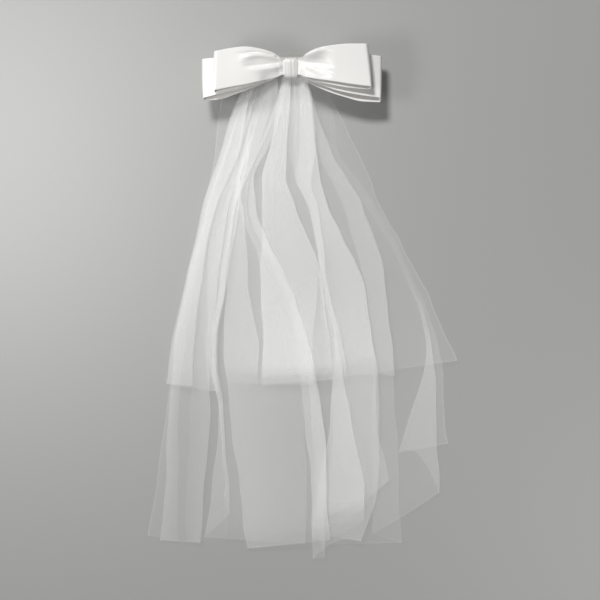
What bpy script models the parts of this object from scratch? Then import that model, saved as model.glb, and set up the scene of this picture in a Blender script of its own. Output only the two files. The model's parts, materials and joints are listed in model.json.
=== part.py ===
"""Bridal veil laid flat: two gathered tulle tiers, a double satin bow, its knot and a hair comb.

+Y runs up towards the bow, +X to the right and +Z away from the surface that the veil lies on.
Plan sizes are millimetres from the middle of the gathering line. A drop is a distance
below that line, towards -Y. The whole is then moved so that the origin is at the middle
of its bounding box, on the surface.
"""

from collections import namedtuple
from math import cos, pi, sin

import bmesh
import bpy
import numpy as np
from mathutils import Vector

MM = 0.001

# Walls and the spaces between them
TULLE_WALL = 1.0
TULLE_LEVEL = 1.6           # rise from one layer of tulle to the layer on it
SATIN_WALL = 1.5
SEAM_GAP = 0.3

# Gathered headings of the two tiers
HEADING_DROP = -7.0         # the gathered edge lies this far above the gathering line
HEADING_HALF_WIDTH = 27.0   # half of what each tier is gathered to
HEADING_PLEAT = 3.2         # how far each pleat folds back at the heading

# How the layers of a tier ease over the edges of those under them
SHARED_ROWS = 11            # rows of points at drops that all folds of a tier share
HEM_ROWS = 2                # rows from there to each fold's own hem
ROW_CROWDING = 1.4          # above 1, the shared rows lie closer together at the heading
LOWER_SHARED_DROP = 470.0
UPPER_SHARED_DROP = 360.0
PANEL_CELL = 36.0           # about how wide the cells of a panel are at its widest
FEWEST_CELLS, MOST_CELLS = 2, 4
TURN_ANGLES = (-pi / 6, pi / 6)     # where the points of a fold's round turn are
LEAST_HEM_LENGTH = 5.0      # a station this close to a fold's hem is left out
TIER_GAP = 0.4
TURN_REACH = 1.5            # a fold's round turn and wall reach this far past its line
EASE_AT_HEADING = 4.0       # half the length over which a slope turns into the next
EASE_PER_DROP = 0.08
BED_EASE = 3                # a tier turns more gently over the one under it
LEVEL_HEADING = 90.0        # down to this drop a tier's top turns from level to rounded
LEAST_SLOPE = 0.002         # slopes of the beds, in layers for each millimetre
MOST_SLOPE = 1.5
SLOPE_STEPS = 40
MAP_CELL = 1.0
MAP_STEP = 6.0
MAP_PLACES = np.arange(-250.0, 270.0, MAP_CELL)
MAP_DROPS = np.arange(HEADING_DROP, 700.0, MAP_STEP)

# Comb
COMB_WIDTH = 64.0
COMB_THICKNESS = 2.6
COMB_SPINE_DROP = (-12.0, -4.0)
COMB_TOOTH_END_DROP = 20.0
COMB_TEETH = 16
COMB_TOOTH_WIDTH = 1.8
COMB_CORNER = 2.0
COMB_CLEARANCE = 6.0        # the headings stay level this far past the comb,
COMB_SLOPE = 34.0           # then come down to the surface over this length

# A row for each fold of a tier, from its right selvage to its left one. The first numbers
# are the fold's distance right of the middle at the tier's stations, which are drops.
# A station past the fold's own hem is not used. "sag" is how much lower the hem hangs
# halfway to the next fold than on the straight line between the two.
STATIONS = (55.0, 120.0, 200.0, 300.0, 400.0, 500.0, 585.0)
Fold = namedtuple("Fold", "name at_55 at_120 at_200 at_300 at_400 at_500 at_585 "
                          "hem_x hem_drop sag")

LOWER_FOLDS = (
    Fold("right_selvage", 59, 71, 125, 174, 211, 219, 223, 223, 527, 0),
    Fold("right_flap_left", 42, 60, 111, 166, 194, 165, 154, 154, 540, 26),
    Fold("right_flap_right", 56, 68, 121, 170, 201, 206, 209, 209, 595, 2),
    Fold("right_flap_under", 24, 39, 64, 97, 111, 117, 118, 119, 652, 0),
    Fold("right_edge", 34, 58, 104, 134, 144, 150, 154, 157, 664, 0),
    Fold("right_edge_under", 13, 21, 34, 59, 71, 64, 53, 48, 667, 0),
    Fold("small_corner", 27, 42, 60, 99, 115, 121, 140, 140, 578, 6),
    Fold("tall_leaf_left", 10, 17, 28, 53, 68, 59, 43, 41, 632, 4),
    Fold("tall_leaf_right", 31, 40, 56, 102, 121, 128, 124, 101, 662, -12),
    Fold("tail_left", -16, -39, -53, -14, 21, 35, 38, 35, 686, 0),
    Fold("tail_right", -6, -28, -41, -1, 32, 50, 52, 50, 684, -14),
    Fold("middle_left", -35, -55, -68, -88, -86, -77, -66, -55, 672, 0),
    Fold("middle_under", -21, -42, -52, -17, 12, 23, 26, 26, 665, 0),
    Fold("small_leaf_left", -43, -61, -75, -90, -104, -95, -103, -115, 657, 0),
    Fold("sliver_right", -35, -53, -66, -83, -97, -88, -82, -81, 661, 0),
    Fold("sliver_left", -46, -64, -78, -93, -106, -92, -86, -88, 661, 0),
    Fold("sliver_under", -39, -56, -67, -77, -79, -75, -67, -57, 661, 0),
    Fold("left_leaf_under", -56, -77, -95, -114, -126, -135, -139, -140, 662, 0),
    Fold("left_leaf_right", -46, -66, -81, -97, -107, -109, -115, -122, 664, 0),
    Fold("left_leaf_left", -61, -85, -112, -135, -157, -164, -169, -175, 661, 0),
    Fold("left_edge_under", -54, -75, -101, -125, -143, -151, -152, -151, 662, 0),
    Fold("left_selvage", -93, -99, -117, -138, -158, -169, -182, -194, 654, 0),
)

UPPER_FOLDS = (
    Fold("right_selvage", 63, 96, 130, 184, 229, 233, 233, 233, 413, 0),
    Fold("right_under", 2, -1, 12, 47, 60, 64, 64, 64, 433, 0),
    Fold("right_edge", 26, 37, 56, 102, 121, 126, 126, 126, 428, 0),
    Fold("middle_left", -27, -49, -66, -85, -87, -82, -82, -82, 443, 0),
    Fold("middle_right", -6, -28, -41, -1, 32, 39, 39, 39, 438, 0),
    Fold("middle_under", -35, -57, -75, -80, -78, -71, -71, -71, 443, 0),
    Fold("left_overlap", -24, -46, -61, -54, -43, -40, -40, -40, 438, 0),
    Fold("left_edge_under", -61, -85, -111, -133, -153, -158, -158, -158, 447, 0),
    Fold("left_edge_right", -41, -57, -72, -85, -106, -108, -108, -108, 453, 0),
    Fold("left_edge_left", -65, -88, -115, -137, -156, -166, -166, -166, 445, 0),
    Fold("left_strip_right", -49, -71, -99, -120, -132, -134, -134, -134, 448, 0),
    Fold("left_selvage", -69, -92, -118, -140, -161, -170, -170, -170, 443, 0),
)

# A row for each station of a bow's loop, from the knot out to where the band turns back.
# x is right of the middle, "top" and "bottom" are above the gathering line, and a lift
# is above the bow's own bed.
Section = namedtuple("Section", "x top bottom_front bottom_back lift_back lift_front")

REAR_LEFT = (
    Section(5, 3, -17, -17, 0.0, 1.8),
    Section(-5, 3, -17, -17, 0.0, 1.8),
    Section(-18, 8, -24, -23, -0.5, 4.8),
    Section(-40, 11, -31, -32, -3.5, 5.5),
    Section(-66, 10, -38, -42, -8.0, 4.5),
    Section(-96, 7, -43, -51, -12.0, 2.0),
    Section(-118, 5, -50, -54, -12.0, -1.5),
)
REAR_RIGHT = (
    Section(5, 3, -17, -17, 0.0, 1.8),
    Section(15, 3, -17, -18, 0.0, 1.8),
    Section(28, 7, -25, -29, -1.5, 4.5),
    Section(50, 12, -34, -38, -5.5, 5.0),
    Section(76, 13, -41, -46, -9.5, 4.0),
    Section(106, 12, -46, -53, -12.0, 2.0),
    Section(129, 9, -49, -55, -12.0, -1.5),
)
FRONT_LEFT = (
    Section(5, 4, -17, -17, 0.0, 1.8),
    Section(-5, 4, -17, -17, 0.0, 1.8),
    Section(-16, 11, -23, -24, 2.5, 8.0),
    Section(-34, 17, -28, -31, 4.0, 13.0),
    Section(-58, 21, -31, -36, 4.0, 15.5),
    Section(-80, 18, -33, -41, 2.5, 14.5),
    Section(-102, 14, -37, -43, 1.0, 11.0),
)
FRONT_RIGHT = (
    Section(5, 4, -17, -17, 0.0, 1.8),
    Section(15, 4, -17, -17, 0.0, 1.8),
    Section(26, 11, -22, -24, 2.5, 8.0),
    Section(42, 18, -25, -28, 4.0, 13.0),
    Section(64, 23, -27, -35, 4.0, 15.5),
    Section(90, 25, -31, -39, 2.5, 14.5),
    Section(115, 21, -34, -40, 1.0, 11.0),
)

# A row for each large fold pressed into a bow's front layer: its two ends in plan, its
# half width and its rise, which is negative for a trough.
Crease = namedtuple("Crease", "x_in y_in x_out y_out half_width rise")

FRONT_CREASES = (
    Crease(-6, 1, -58, -6, 4.0, -2.4),
    Crease(-8, -4, -76, 2, 5.0, 1.6),
    Crease(-6, -11, -60, -24, 5.0, 1.4),
    Crease(16, 1, 56, -5, 3.5, 2.2),
    Crease(18, -4, 58, -15, 4.0, -2.4),
    Crease(16, -12, 70, -22, 5.0, 1.4),
)

# Knot
KNOT_MIDDLE_X = 5.0
KNOT_WIDTH_FRONT = 19.0
KNOT_WIDTH_SIDE = 15.0
KNOT_TOP = 6.8
KNOT_BOTTOM = -20.4
KNOT_SQUARENESS = 0.35
KNOT_CROWN = 1.6
KNOT_RIDGES = 2
KNOT_RIDGE_HEIGHT = 0.35
KNOT_STEPS_ROUND = 24
KNOT_POINTS_ACROSS = 9

# Bows
BOW_WIDTH_POINTS = 9
BOW_STEPS_PER_SECTION = 2
BOW_TURN_STEPS = 4
BOW_BACK_TUCK = 2.0         # the back layer's top edge lies this far below the front one's
BOW_TURN_DEPTH = 0.8        # how far a loop's end bulges, over the end's half height
CREASE_FADE_IN = 0.35       # shares of a crease's length over which it fades at its ends
CREASE_FADE_OUT = 0.5
BEHIND_KNOT_X = (-24.0, 34.0)       # where the headings carry the knot and the bows
BEHIND_KNOT_DROP = (HEADING_DROP, 28.0)
BEHIND_KNOT_POINTS = 40


def smooth_step(value):
    """Ease from 0 to 1 as value goes from 0 to 1."""
    value = np.clip(value, 0.0, 1.0)
    return value * value * (3.0 - 2.0 * value)


def curve_through(knots, values, wanted):
    """Read a smooth curve through (knots, values) at the wanted places, without overshoot."""
    knots = np.asarray(knots, float)
    values = np.asarray(values, float)
    steps = np.diff(knots)
    slopes = np.diff(values) / steps
    tangents = np.empty_like(values)
    tangents[0], tangents[-1] = slopes[0], slopes[-1]
    before, after = slopes[:-1], slopes[1:]
    turning = before * after <= 0.0
    harmonic = 2.0 * before * after / np.where(turning, 1.0, before + after)
    tangents[1:-1] = np.where(turning, 0.0, harmonic)
    wanted = np.clip(wanted, knots[0], knots[-1])
    cell = np.clip(np.searchsorted(knots, wanted) - 1, 0, len(steps) - 1)
    t = (wanted - knots[cell]) / steps[cell]
    start, end = values[cell], values[cell + 1]
    start_slope, end_slope = tangents[cell] * steps[cell], tangents[cell + 1] * steps[cell]
    return (start * (1 + 2 * t) * (1 - t) ** 2 + start_slope * t * (1 - t) ** 2
            + end * t * t * (3 - 2 * t) + end_slope * t * t * (t - 1))


class Edge:
    """One fold of a tier, as a curve across its drop."""

    def __init__(self, fold, number, count, shared_drop):
        self.shared_drop = shared_drop
        self.opens_right = number % 2 == 0
        side = 1.0 if self.opens_right else -1.0
        pitch = 2.0 * HEADING_HALF_WIDTH / (count - 1)
        heading_x = HEADING_HALF_WIDTH - pitch * number + side * (pitch + HEADING_PLEAT) / 2
        at_stations = zip(STATIONS, fold[1:1 + len(STATIONS)])
        last_drop = fold.hem_drop - LEAST_HEM_LENGTH
        reached = [(drop, x) for drop, x in at_stations if drop < last_drop]
        self.knots = [HEADING_DROP] + [drop for drop, _ in reached] + [fold.hem_drop]
        self.places = [heading_x] + [x for _, x in reached] + [fold.hem_x]
        self.hem_drop, self.sag = fold.hem_drop, fold.sag

    def x_at(self, drop):
        return curve_through(self.knots, self.places, drop)

    def drop_at(self, row):
        """Drop of a row of points: shared by all folds, but for the last rows above the hem."""
        if row <= SHARED_ROWS:
            share = (row / SHARED_ROWS) ** ROW_CROWDING
            return HEADING_DROP + share * (self.shared_drop - HEADING_DROP)
        share = (row - SHARED_ROWS) / HEM_ROWS
        return self.shared_drop + share * (self.hem_drop - self.shared_drop)


class Panel:
    """The cloth between two neighbouring folds, which lies at one level."""

    def __init__(self, right_edge, left_edge):
        self.edges = (right_edge, left_edge)
        self.sag = right_edge.sag

    def point(self, across, row):
        """Plan place (x, drop) in a row of points, across = 0..1 between the two folds."""
        first, last = self.edges
        drop = (1 - across) * first.drop_at(row) + across * last.drop_at(row)
        near_hem = max(0.0, (row - SHARED_ROWS) / HEM_ROWS)
        drop = drop + self.sag * near_hem * 4.0 * across * (1 - across)
        x_first = first.x_at(first.drop_at(row))
        x_last = last.x_at(last.drop_at(row))
        return (1 - across) * x_first + across * x_last, drop

    def ends_at(self, drop):
        """The panel's two sides at a drop, lowest first."""
        sides = [float(edge.x_at(drop)) for edge in self.edges]
        return min(sides), max(sides)


def blurred(values, reach):
    """A running mean, taken twice, that leaves a straight slope as it is."""
    for _ in range(2):
        padded = np.pad(values, reach, mode="reflect", reflect_type="odd")
        values = np.lib.stride_tricks.sliding_window_view(padded, 2 * reach + 1).mean(axis=-1)
    return values


def sagging_under(places, values, reach):
    """A smooth sagging curve close under all the values, read at every place of the map."""
    steep = np.geomspace(LEAST_SLOPE, MOST_SLOPE, SLOPE_STEPS)
    slopes = np.concatenate([-steep[::-1], [0.0], steep])[:, None]
    intercepts = (values - slopes * places).min(axis=1, keepdims=True)
    hull = (slopes * places + intercepts).max(axis=0)
    smooth = blurred(hull, reach)
    return np.interp(MAP_PLACES, places, smooth - np.max(smooth - hull))


class Layers:
    """How high each of a tier's panels lies above the tier's bed, from one panel to the next."""

    def __init__(self, panels):
        found = [self.row(panels, drop) for drop in MAP_DROPS]
        self.lowest = np.array([lowest for lowest, _ in found])
        self.top = np.array([top for _, top in found])

    def row(self, panels, drop):
        """The number of the lowest panel and the layers up to the top one, both smooth."""
        ends = np.array([panel.ends_at(drop) for panel in panels])
        low, high = ends[:, :1] - TURN_REACH, ends[:, 1:] + TURN_REACH
        present = (MAP_PLACES >= low) & (MAP_PLACES <= high)
        some = present.any(axis=0)
        first = np.argmax(present, axis=0).astype(float)
        last = len(panels) - 1 - np.argmax(present[::-1], axis=0).astype(float)
        reach = int(round((EASE_AT_HEADING + EASE_PER_DROP * (drop - HEADING_DROP)) / MAP_CELL))
        lowest = sagging_under(MAP_PLACES[some], first[some], reach)
        top = -sagging_under(MAP_PLACES[some], (lowest - last)[some], BED_EASE * reach)
        level = 1.0 - smooth_step((drop - HEADING_DROP) / LEVEL_HEADING)
        return lowest, top + level * (top.max() - top)

    def read(self, table, x, drop):
        column = np.clip((x - MAP_PLACES[0]) / MAP_CELL, 0, len(MAP_PLACES) - 1.001)
        row = np.clip((drop - MAP_DROPS[0]) / MAP_STEP, 0, len(MAP_DROPS) - 1.001)
        c, r = column.astype(int), row.astype(int)
        u, v = column - c, row - r
        upper = table[r, c] * (1 - u) + table[r, c + 1] * u
        lower = table[r + 1, c] * (1 - u) + table[r + 1, c + 1] * u
        return upper * (1 - v) + lower * v

    def height(self, number, x, drop):
        """Height of one panel above the tier's bed."""
        return TULLE_LEVEL * (number - self.read(self.lowest, x, drop))

    def thickness(self, x, drop):
        """Height of the next tier's bed above this one's."""
        return TULLE_LEVEL * (self.read(self.top, x, drop) + 1.0) + TIER_GAP


def comb_height(x, drop):
    """Lifts the headings over the comb."""
    beside = np.maximum(np.abs(x) - COMB_WIDTH / 2, 0.0)
    beyond = np.maximum(np.maximum(COMB_SPINE_DROP[0] - drop, drop - COMB_TOOTH_END_DROP), 0.0)
    away = np.hypot(beside, beyond)
    return (COMB_THICKNESS + SEAM_GAP) * (1.0 - smooth_step((away - COMB_CLEARANCE) / COMB_SLOPE))


def bed_height(under, x, drop):
    """Height of the middle of a tier's lowest layer where it lies on all that is under it."""
    height = TULLE_WALL / 2 + comb_height(x, drop)
    for layers in under:
        height = height + layers.thickness(x, drop)
    return height


def panel_columns(panel):
    widest = max(abs(float(panel.point(0.0, row)[0] - panel.point(1.0, row)[0]))
                 for row in range(SHARED_ROWS // 2, SHARED_ROWS + HEM_ROWS + 1))
    return int(np.clip(round(widest / PANEL_CELL), FEWEST_CELLS, MOST_CELLS))


def tier_rows(panels, layers, under):
    """Rows of points (x, drop, height) that zigzag through the panels, with round turns."""
    rows = []
    for number_of_row in range(SHARED_ROWS + HEM_ROWS + 1):
        row = []
        for number, panel in enumerate(panels):
            across = np.linspace(0.0, 1.0, panel_columns(panel) + 1)
            x, drop = panel.point(across, number_of_row)
            height = bed_height(under, x, drop) + layers.height(number, x, drop)
            row.extend(zip(x, drop, height))
            if number + 1 < len(panels):
                row.extend(turn_points(panel.edges[1], x[-1], drop[-1], height[-1]))
        rows.append(row)
    return rows


def turn_points(edge, x, drop, height):
    """Points round the half circle that joins one level to the next at a fold."""
    radius = TULLE_LEVEL / 2
    outwards = 1.0 if edge.opens_right else -1.0
    return [(x + outwards * radius * cos(angle), drop, height + radius * (1 + sin(angle)))
            for angle in TURN_ANGLES]


def grid_object(name, rows, wall, collection, closed_across=False, material=None):
    """An object from rows of points in millimetres, given its wall by Solidify."""
    mesh_maker = bmesh.new()
    grid = [[mesh_maker.verts.new(Vector(point) * MM) for point in row] for row in rows]
    for row, next_row in zip(grid, grid[1:] + grid[:1] if closed_across else grid[1:]):
        for column in range(len(row) - 1):
            mesh_maker.faces.new((row[column], row[column + 1],
                                  next_row[column + 1], next_row[column]))
    mesh = bpy.data.meshes.new(name)
    mesh_maker.to_mesh(mesh)
    mesh_maker.free()
    mesh.shade_smooth()
    made = bpy.data.objects.new(name, mesh)
    collection.objects.link(made)
    solidify = made.modifiers.new("Wall", "SOLIDIFY")
    solidify.thickness = wall * MM
    solidify.offset = 0.0
    mesh.materials.append(material)
    return made


def make_panels(folds, shared_drop):
    edges = [Edge(fold, number, len(folds), shared_drop) for number, fold in enumerate(folds)]
    return [Panel(edges[number], edges[number + 1]) for number in range(len(edges) - 1)]


def make_tier(name, panels, layers, under, collection, material):
    rows = tier_rows(panels, layers, under)
    plan_rows = [[(x, -drop, height) for x, drop, height in row] for row in rows]
    return grid_object(name, plan_rows, TULLE_WALL, collection, material=material)


def heading_top(under):
    """Height of the upper face of the headings behind the knot."""
    x, drop = np.meshgrid(np.linspace(*BEHIND_KNOT_X, BEHIND_KNOT_POINTS),
                          np.linspace(*BEHIND_KNOT_DROP, BEHIND_KNOT_POINTS))
    return float(bed_height(under, x, drop).max()) - TULLE_LEVEL


def bow_sections(sections):
    """Smooth columns of a loop's table, read at even steps from the knot outwards."""
    count = (len(sections) - 1) * BOW_STEPS_PER_SECTION + 1
    wanted = np.linspace(0, len(sections) - 1, count)
    columns = [curve_through(range(len(sections)), column, wanted) for column in zip(*sections)]
    return [Section(*row) for row in zip(*columns)]


def crease_rise(creases, x, y):
    """What the pressed folds add to the height at a plan place."""
    rise = 0.0
    for crease in creases:
        along_x, along_y = crease.x_out - crease.x_in, crease.y_out - crease.y_in
        length_squared = along_x ** 2 + along_y ** 2
        share = ((x - crease.x_in) * along_x + (y - crease.y_in) * along_y) / length_squared
        across = (x - crease.x_in) * along_y - (y - crease.y_in) * along_x
        away = abs(across) / length_squared ** 0.5
        fade = smooth_step(share / CREASE_FADE_IN) * smooth_step((1.0 - share) / CREASE_FADE_OUT)
        rise += crease.rise * fade * np.exp(-(away / crease.half_width) ** 2)
    return rise


def band_row(x, top, bottom, height, creases=()):
    """One row of points across a band, from its top edge to its bottom edge."""
    row = []
    for number in range(BOW_WIDTH_POINTS):
        across = number / (BOW_WIDTH_POINTS - 1)
        y = top + across * (bottom - top)
        row.append((x, y, height + crease_rise(creases, x, y)))
    return row


def loop_rows(sections, bed, creases):
    """Rows from the knot out along the back layer, round the end and back along the front."""
    steps = bow_sections(sections)
    outwards = 1.0 if sections[-1].x > sections[0].x else -1.0
    last = steps[-1]
    radius = (last.lift_front - last.lift_back) / 2
    tucks = [0.0] + [BOW_BACK_TUCK] * (len(steps) - 1)
    back = [band_row(step.x, step.top - tuck, step.bottom_back, bed + step.lift_back)
            for step, tuck in zip(steps, tucks)]
    front = [band_row(step.x, step.top, step.bottom_front, bed + step.lift_front, creases)
             for step in steps]
    turn = []
    for number in range(1, BOW_TURN_STEPS):
        share = number / BOW_TURN_STEPS
        angle = pi * share
        bottom = last.bottom_back + share * (last.bottom_front - last.bottom_back)
        top = last.top - BOW_BACK_TUCK * (1 - share)
        height = bed + last.lift_back + radius * (1 - cos(angle))
        x = last.x + outwards * BOW_TURN_DEPTH * radius * sin(angle)
        turn.append(band_row(x, top, bottom, height))
    return back + turn + front[::-1]


def make_bow(name, left, right, bed, creases, collection, material):
    """A band closed into a ring, flattened, with both layers pinched in its middle."""
    right_rows = loop_rows(right, bed, creases)
    left_rows = loop_rows(left, bed, creases)[::-1]
    rows = right_rows[:-1] + left_rows[:-1]
    return grid_object(name, rows, SATIN_WALL, collection, closed_across=True, material=material)


def make_knot(bed_back, bed_front, collection, material):
    """A band wrapped round both bows, crowned in front and gathered lengthways."""
    rows = []
    half_y, middle_y = (KNOT_TOP - KNOT_BOTTOM) / 2, (KNOT_TOP + KNOT_BOTTOM) / 2
    half_z, middle_z = (bed_front - bed_back) / 2, (bed_front + bed_back) / 2
    for step in range(KNOT_STEPS_ROUND):
        angle = 2.0 * pi * step / KNOT_STEPS_ROUND
        round_y = np.sign(sin(angle)) * abs(sin(angle)) ** KNOT_SQUARENESS
        round_z = np.sign(cos(angle)) * abs(cos(angle)) ** KNOT_SQUARENESS
        in_front = max(0.0, cos(angle))
        width = KNOT_WIDTH_SIDE + (KNOT_WIDTH_FRONT - KNOT_WIDTH_SIDE) * smooth_step(in_front)
        row = []
        for number in range(KNOT_POINTS_ACROSS):
            across = 2.0 * number / (KNOT_POINTS_ACROSS - 1) - 1.0
            ridge = KNOT_RIDGE_HEIGHT * cos(2.0 * pi * KNOT_RIDGES * across) * in_front
            crown = KNOT_CROWN * in_front * (1.0 - across * across)
            x = KNOT_MIDDLE_X + across * width / 2
            y = middle_y + half_y * round_y
            row.append((x, y, middle_z + half_z * round_z + crown + ridge))
        rows.append(row[::-1])
    return grid_object("knot", rows, SATIN_WALL, collection, closed_across=True, material=material)


def comb_outline():
    """Corners of the comb in plan, a spine with its teeth, as (x, y)."""
    half, tooth = COMB_WIDTH / 2, COMB_TOOTH_WIDTH / 2
    top, root = -COMB_SPINE_DROP[0], -COMB_SPINE_DROP[1]
    tip = -COMB_TOOTH_END_DROP
    shoulder = tip + COMB_TOOTH_WIDTH
    corners = [(-half, root), (-half, top - COMB_CORNER), (-half + COMB_CORNER, top)]
    corners += [(half - COMB_CORNER, top), (half, top - COMB_CORNER), (half, root)]
    pitch = (COMB_WIDTH - COMB_TOOTH_WIDTH - COMB_CORNER) / (COMB_TEETH - 1)
    for number in reversed(range(COMB_TEETH)):
        middle = (number - (COMB_TEETH - 1) / 2) * pitch
        corners += [(middle + tooth, root), (middle + tooth, shoulder), (middle + tooth / 2, tip)]
        corners += [(middle - tooth / 2, tip), (middle - tooth, shoulder), (middle - tooth, root)]
    return corners


def make_comb(collection, material):
    """A flat moulded comb: one outline, extruded to its thickness."""
    curve = bpy.data.curves.new("comb_outline", "CURVE")
    curve.dimensions = "2D"
    curve.fill_mode = "BOTH"
    curve.extrude = COMB_THICKNESS / 2 * MM
    spline = curve.splines.new("POLY")
    corners = comb_outline()
    spline.points.add(len(corners) - 1)
    for point, (x, y) in zip(spline.points, corners):
        point.co = (x * MM, y * MM, 0.0, 1.0)
    spline.use_cyclic_u = True
    outline = bpy.data.objects.new("comb_outline", curve)
    collection.objects.link(outline)
    bpy.context.view_layer.update()
    seen = outline.evaluated_get(bpy.context.evaluated_depsgraph_get())
    mesh = bpy.data.meshes.new_from_object(seen)
    bpy.data.objects.remove(outline)
    mesh_maker = bmesh.new()
    mesh_maker.from_mesh(mesh)
    bmesh.ops.remove_doubles(mesh_maker, verts=mesh_maker.verts, dist=0.01 * MM)
    bmesh.ops.translate(mesh_maker, verts=mesh_maker.verts, vec=(0, 0, COMB_THICKNESS / 2 * MM))
    mesh_maker.to_mesh(mesh)
    mesh_maker.free()
    mesh.name = "comb"
    mesh.materials.clear()
    mesh.materials.append(material)
    made = bpy.data.objects.new("comb", mesh)
    collection.objects.link(made)
    return made


def make_material(name, colour, roughness, metallic=0.0):
    material = bpy.data.materials.new(name)
    material.use_nodes = True
    surface = material.node_tree.nodes["Principled BSDF"]
    surface.inputs["Base Color"].default_value = (*colour, 1.0)
    surface.inputs["Roughness"].default_value = roughness
    surface.inputs["Metallic"].default_value = metallic
    return material


def centre_on_surface(parts):
    """Move all parts so that the origin is under the middle of their bounding box."""
    bpy.context.view_layer.update()
    depsgraph = bpy.context.evaluated_depsgraph_get()
    corners = [part.evaluated_get(depsgraph).matrix_world @ Vector(corner)
               for part in parts for corner in part.evaluated_get(depsgraph).bound_box]
    low = Vector([min(corner[axis] for corner in corners) for axis in range(3)])
    high = Vector([max(corner[axis] for corner in corners) for axis in range(3)])
    shift = Vector((-(low.x + high.x) / 2, -(low.y + high.y) / 2, -low.z))
    for part in parts:
        part.location = shift


def clear_scene():
    for existing in list(bpy.data.objects):
        bpy.data.objects.remove(existing)


def main():
    clear_scene()
    collection = bpy.data.collections.new("bridal_veil")
    bpy.context.scene.collection.children.link(collection)
    tulle = make_material("soft_tulle", (0.86, 0.86, 0.86), 0.8)
    upper_tulle = make_material("soft_tulle_upper", (0.9, 0.9, 0.9), 0.8)
    satin = make_material("bridal_satin", (0.92, 0.92, 0.9), 0.35)
    rear_satin = make_material("bridal_satin_rear", (0.88, 0.88, 0.86), 0.35)
    knot_satin = make_material("bridal_satin_knot", (0.86, 0.86, 0.84), 0.38)
    clear_plastic = make_material("comb_plastic", (0.75, 0.75, 0.73), 0.3)

    comb = make_comb(collection, clear_plastic)
    lower_panels = make_panels(LOWER_FOLDS, LOWER_SHARED_DROP)
    lower_layers = Layers(lower_panels)
    lower = make_tier("lower_tier", lower_panels, lower_layers, [], collection, tulle)
    upper_panels = make_panels(UPPER_FOLDS, UPPER_SHARED_DROP)
    upper_layers = Layers(upper_panels)
    upper = make_tier("upper_tier", upper_panels, upper_layers, [lower_layers], collection,
                      upper_tulle)

    knot_back = heading_top([lower_layers, upper_layers]) + SEAM_GAP + SATIN_WALL / 2
    rear_bed = knot_back + SATIN_WALL + SEAM_GAP
    front_bed = rear_bed + REAR_LEFT[0].lift_front + SATIN_WALL + SEAM_GAP
    knot_front = front_bed + FRONT_LEFT[0].lift_front + SATIN_WALL + SEAM_GAP
    rear = make_bow("rear_bow", REAR_LEFT, REAR_RIGHT, rear_bed, (), collection, rear_satin)
    front = make_bow("front_bow", FRONT_LEFT, FRONT_RIGHT, front_bed, FRONT_CREASES, collection,
                     satin)
    knot = make_knot(knot_back, knot_front, collection, knot_satin)
    centre_on_surface([comb, lower, upper, rear, front, knot])


if __name__ == "__main__":
    main()
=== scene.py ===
import json
from collections import namedtuple
from math import cos, pi, sin

import bpy
import numpy as np
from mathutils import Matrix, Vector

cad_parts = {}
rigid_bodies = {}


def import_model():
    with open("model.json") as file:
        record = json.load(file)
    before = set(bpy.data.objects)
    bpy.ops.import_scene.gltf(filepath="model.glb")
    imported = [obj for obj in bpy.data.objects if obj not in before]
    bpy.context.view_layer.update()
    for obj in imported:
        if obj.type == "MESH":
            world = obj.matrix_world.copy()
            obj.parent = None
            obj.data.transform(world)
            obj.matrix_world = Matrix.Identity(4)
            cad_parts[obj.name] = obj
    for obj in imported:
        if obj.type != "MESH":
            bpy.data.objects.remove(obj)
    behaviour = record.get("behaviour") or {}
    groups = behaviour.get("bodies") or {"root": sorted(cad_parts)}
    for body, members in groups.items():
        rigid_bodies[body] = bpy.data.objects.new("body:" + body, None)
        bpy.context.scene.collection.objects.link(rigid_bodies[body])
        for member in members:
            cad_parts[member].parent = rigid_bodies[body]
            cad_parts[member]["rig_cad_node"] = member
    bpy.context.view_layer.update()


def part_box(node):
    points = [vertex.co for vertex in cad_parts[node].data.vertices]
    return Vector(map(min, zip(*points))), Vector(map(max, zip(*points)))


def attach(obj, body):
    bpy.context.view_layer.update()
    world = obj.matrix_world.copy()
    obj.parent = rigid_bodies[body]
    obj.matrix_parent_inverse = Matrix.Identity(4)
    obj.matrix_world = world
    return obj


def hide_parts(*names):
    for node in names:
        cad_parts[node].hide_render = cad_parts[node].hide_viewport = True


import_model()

bl_info = {
    "name": "Bridal Veil",
    "version": (1, 0, 0),
    "blender": (4, 5, 0),
    "location": "View3D > Sidebar > Veil",
    "description": "Two gathered tulle tiers and a double satin bow, laid out flat",
    "category": "Add Mesh",
}

MM = 0.001

# The comb carries everything, so the middle of the gathering line is found from its solid.
COMB_TOP_ABOVE_GATHERING = 12.0
comb_low, comb_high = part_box("comb")
GATHERING_X = (comb_low[0] + comb_high[0]) / 2
GATHERING_Y = comb_high[1] - COMB_TOP_ABOVE_GATHERING * MM

# Tulle, in millimetres from the gathering line. A drop is a distance below that line.
TULLE_WALL = 1.0
TULLE_LEVEL = 1.3           # rise from one layer of a tier to the layer on it
TIER_GAP = 0.6              # between the tiers, beyond what their layers take up
HEADING_DROP = -7.0
HEADING_HALF_WIDTH = 27.0
HEADING_PLEAT = 3.2         # how far the net turns back in each pleat of the heading
LOWER_SHARED_DROP = 470.0   # down to here all folds of a tier have their points in line
UPPER_SHARED_DROP = 360.0
SHARED_ROWS = 76
HEM_ROWS = 20
ROW_CROWDING = 1.25         # more than 1 sets the rows closer near the heading
HEM_LINE = 1.6              # width of the fuzzy line that a raw cut edge shows
PANEL_CELL = 3.2            # width of a panel's cells at its widest
FEWEST_CELLS, MOST_CELLS = 4, 40
TURN_ANGLES = (-pi / 3, 0.0, pi / 3)
LEAST_HEM_LENGTH = 5.0      # a station nearer than this to a fold's hem is left out
TURN_REACH = 1.5            # how far the turned folds reach past a panel's sides

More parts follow.
